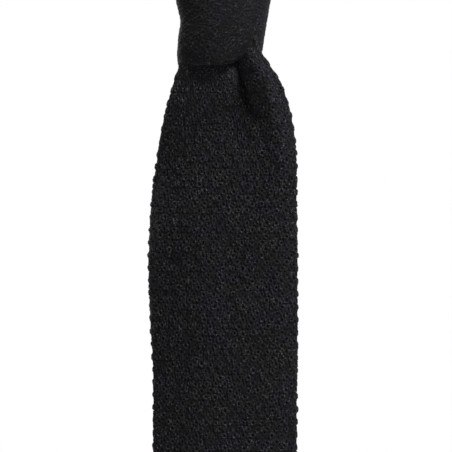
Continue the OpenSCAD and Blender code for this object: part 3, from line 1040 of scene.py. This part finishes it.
def build_keeper():
    """The tape over the tail's way, with a foot tacked to the blade at each end."""
    near, far = KEEPER_LOW[1] + 0.35, KEEPER_HIGH[1] - 0.45
    edge, foot, corner_r = 21.45, KEEPER_HIGH[0], 1.6
    corners = [(-foot, near), (-edge, near), (-edge, far), (edge, far), (edge, near), (foot, near)]
    length, path = path_table(corners, (corner_r,) * 4, 0.05)

    def surface(run, across):
        x, y = np.interp(run, length, path[:, 0]), np.interp(run, length, path[:, 1])
        return places(x, y, KEEPER_Z + across)

    def grosgrain(a, b, rings, seed):
        return (0.5 + 0.5 * np.cos(2 * math.pi * b * 2.6)) * (0.8 + 0.2 * np.cos(2 * math.pi * a * 3))

    piece = ribbon("keeper_tape", surface, 0.1, length[-1] - 0.1, KEEPER_W, thick=0.8, rings=12, seed=61,
                   material=TAPE, relief=0.16, pattern=grosgrain, fine=1.6)
    finished(piece, "lining_tape", "keeper_loop")
    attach(piece, "blade_2")
    tacks = [build_tack("keeper_tack_left"), build_tack("keeper_tack_right")]


def build_tack(node_name):
    """A bar tack: close stitches across a foot of the keeper."""
    low, high = box_mm(node_name)
    middle, y = (low[0] + high[0]) / 2, low[1]
    t = np.linspace(0, 1, 9)
    paths = [
        places(middle - 1.5 + 3 * t, y - 0.35 + 0.55 * np.sin(math.pi * t), KEEPER_Z + z + 0.35 * t)
        for z in np.arange(-4.4, 4.5, 0.8)
    ]
    tack = thread(node_name + "_thread", paths, radius=0.3, material=THREAD)
    finished(tack, "thread", node_name)
    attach(tack, "blade_2")
    return tack


# ---- the care label ----
def build_label():
    """The blank label, which curls away from the tail a little, and the stitches along its top."""
    low, high = box_mm("care_label")
    wide, tall = high[0] - low[0], high[2] - low[2]

    def surface(run, across):
        y = (low[1] + high[1]) / 2 + 0.5 * (run / tall) ** 2 + 0.25 * np.sin(across / 5.0) * (run / tall)
        return places(across, y, high[2] - run)

    def satin(a, b, rings, seed):
        return 0.5 + 0.5 * np.cos(2 * math.pi * b * 3)

    piece = ribbon("care_label_ribbon", surface, 0, tall, wide, thick=0.4, rings=14, seed=71,
                   material=LABEL, relief=0.05, pattern=satin)
    finished(piece, "label_cloth", "care_label")
    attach(piece, "label")
    stitch_low, stitch_high = box_mm("label_stitches")
    t = np.linspace(0, 1, 9)
    stitch_y, stitch_z = stitch_low[1], (stitch_low[2] + stitch_high[2]) / 2
    paths = [
        places(x - 1.1 + 2.2 * t, stitch_y + 0.45 * np.sin(math.pi * t), stitch_z + 0 * t)
        for x in np.arange(-9.6, 9.7, 3.2)
    ]
    stitches = thread("label_thread", paths, radius=0.2, material=THREAD)
    finished(stitches, "thread", "label_stitches")
    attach(stitches, "tail_3")


def finish_stay_tape():
    """The tape inside the neckband keeps its CAD form, in the woven tape's material."""
    materials = bpy.data.objects["neck_stay_tape"].data.materials
    materials.clear()
    materials.append(TAPE)


build_blade()
build_wraps()
build_cross()
build_pass()
build_neck_left()
build_neck_right_and_tail()
build_seam()
build_keeper()
build_label()
finish_stay_tape()

# ---- stage ----
FLOOR_R, FLOOR_DROP = 1.2, 35
LIGHTS_STRENGTH, SEEN_STRENGTH = 0.30, 1.0  # the white world as a light, and as the camera sees it
CAMERA_AWAY, LENS, SENSOR = 0.5, 99.4, 36
FOCUS = Vector((0.0006, BLADE_Y * MM, (KNOT_LOW - 65) * MM))


def build_world():
    """White to the camera, and dimmer as a light."""
    world = bpy.data.worlds.new("studio")
    bpy.context.scene.world = world
    world.use_nodes = True
    tree = world.node_tree
    background = tree.nodes["Background"]
    background.inputs["Color"].default_value = (1, 1, 1, 1)
    path = node(tree, "ShaderNodeLightPath")
    strength = stepped(tree, path.outputs["Is Camera Ray"], 0, 1, LIGHTS_STRENGTH, SEEN_STRENGTH)
    tree.links.new(strength, background.inputs["Strength"])


def build_floor():
    height = (BLADE_TIP - FLOOR_DROP) * MM
    bpy.ops.mesh.primitive_circle_add(vertices=96, radius=FLOOR_R, fill_type="NGON", location=(0, 0, height))
    floor = bpy.context.object
    floor.name = "floor"
    material, _, shader = shader_for("pale_floor")
    shader.inputs["Base Color"].default_value = (0.85, 0.85, 0.85, 1)
    shader.inputs["Roughness"].default_value = 0.9
    floor.data.materials.append(material)


def area_light(name, offset, size, power, colour=(1, 1, 1)):
    """A square light at an offset in metres from the camera's focus, turned to it."""
    data = bpy.data.lights.new(name, "AREA")
    data.color = colour
    data.size = size
    data.energy = power
    light = bpy.data.objects.new(name, data)
    light.location = FOCUS + Vector(offset)
    light.rotation_euler = Vector(offset).to_track_quat("Z", "Y").to_euler()
    bpy.context.scene.collection.objects.link(light)


def build_camera():
    data = bpy.data.cameras.new("camera")
    data.sensor_width = SENSOR
    data.lens = LENS
    camera = bpy.data.objects.new("camera", data)
    camera.location = FOCUS + Vector((0, -CAMERA_AWAY, 0))
    camera.rotation_euler = (math.radians(90), 0, 0)
    bpy.context.scene.collection.objects.link(camera)
    bpy.context.scene.camera = camera


bpy.context.scene.view_settings.view_transform = "Standard"
build_world()
build_floor()
area_light("key", (0.60, -0.42, 1.00), 0.35, 25.5, (0.97, 0.97, 1.08))
area_light("above", (-0.5, 0.16, 1.00), 0.5, 7.0, (1, 1, 1.03))
area_light("behind", (-0.7, 1.1, 0.7), 0.7, 14.0)
build_camera()
